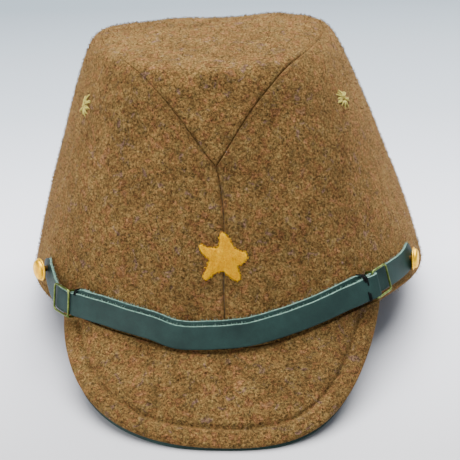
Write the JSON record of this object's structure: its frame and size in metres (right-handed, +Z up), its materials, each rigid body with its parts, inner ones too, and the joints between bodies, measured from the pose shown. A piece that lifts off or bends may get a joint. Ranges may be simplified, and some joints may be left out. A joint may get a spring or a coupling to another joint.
{
  "type": "field cap",
  "caption": "Wool field cap with a tall tapered crown of three panels, a short sloping peak with a leather underside, a leather chin strap with wire slides, domed side buttons and a cloth star.",
  "frame": {"origin": "middle of the cap's box, on the surface that it stands on", "axes": "-Y towards the front of the peak, +X to the right as seen from the front, which is the side that the nodes' names call right, +Z up"},
  "size_m": [0.1916, 0.232, 0.1337],
  "materials": {
    "wool": "heathered brown wool cloth, lightly felted",
    "strap_leather": "dark green leather, smooth, with pale raw edges",
    "peak_leather": "dark green leather",
    "wire": "dull olive brass wire",
    "gilt": "gilt, softly shining",
    "star_cloth": "yellow felt with frayed edges",
    "thread": "pale olive cotton thread"
  },
  "bodies": {
    "root": {"crown_side_left": "wool", "crown_side_right": "wool", "crown_top": "wool", "peak": "wool", "peak_underside": "peak_leather", "strap_front": "strap_leather", "strap_back": "strap_leather", "slide_left": "wire", "slide_right": "wire", "button_left": "gilt", "button_right": "gilt", "star": "star_cloth", "eyelet_left": "thread", "eyelet_right": "thread"}
  },
  "joints": []
}
